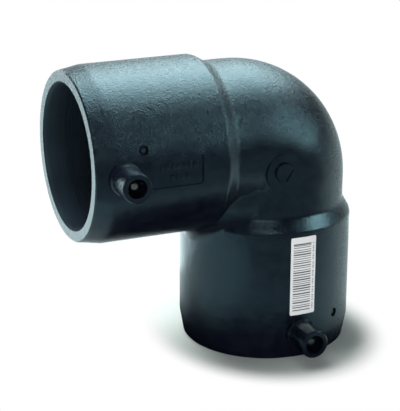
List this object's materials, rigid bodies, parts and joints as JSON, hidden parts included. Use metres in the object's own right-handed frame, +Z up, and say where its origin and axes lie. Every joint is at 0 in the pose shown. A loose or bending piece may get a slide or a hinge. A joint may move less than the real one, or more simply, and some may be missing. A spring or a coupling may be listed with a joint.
{
  "type": "electrofusion elbow",
  "caption": "90 degree polyethylene elbow that welds onto two pipe ends, with heating windings, shrouded terminal pins, fusion indicators and a traceability label.",
  "frame": {"origin": "centre of the lower socket's mouth, in the plane of its face", "axes": "+Z up the lower socket's axis; the upper socket opens towards -X at z = 0.096; both terminals point towards -Y"},
  "size_m": [0.1354, 0.0934, 0.1354],
  "materials": {
    "black_polyethylene": "satin, lightly spark-eroded",
    "plated_pin": "bright",
    "label_film": "satin",
    "coated_wire": "satin",
    "link_metal": "bright"
  },
  "bodies": {
    "root": {"elbow_body": "black_polyethylene", "contact_pin_lower": "plated_pin", "contact_pin_upper": "plated_pin", "fusion_indicator_lower": "black_polyethylene", "fusion_indicator_upper": "black_polyethylene", "barcode_label": "label_film", "heating_coil_lower": "coated_wire", "heating_coil_upper": "coated_wire", "coil_link_wire": "link_metal"}
  },
  "joints": []
}
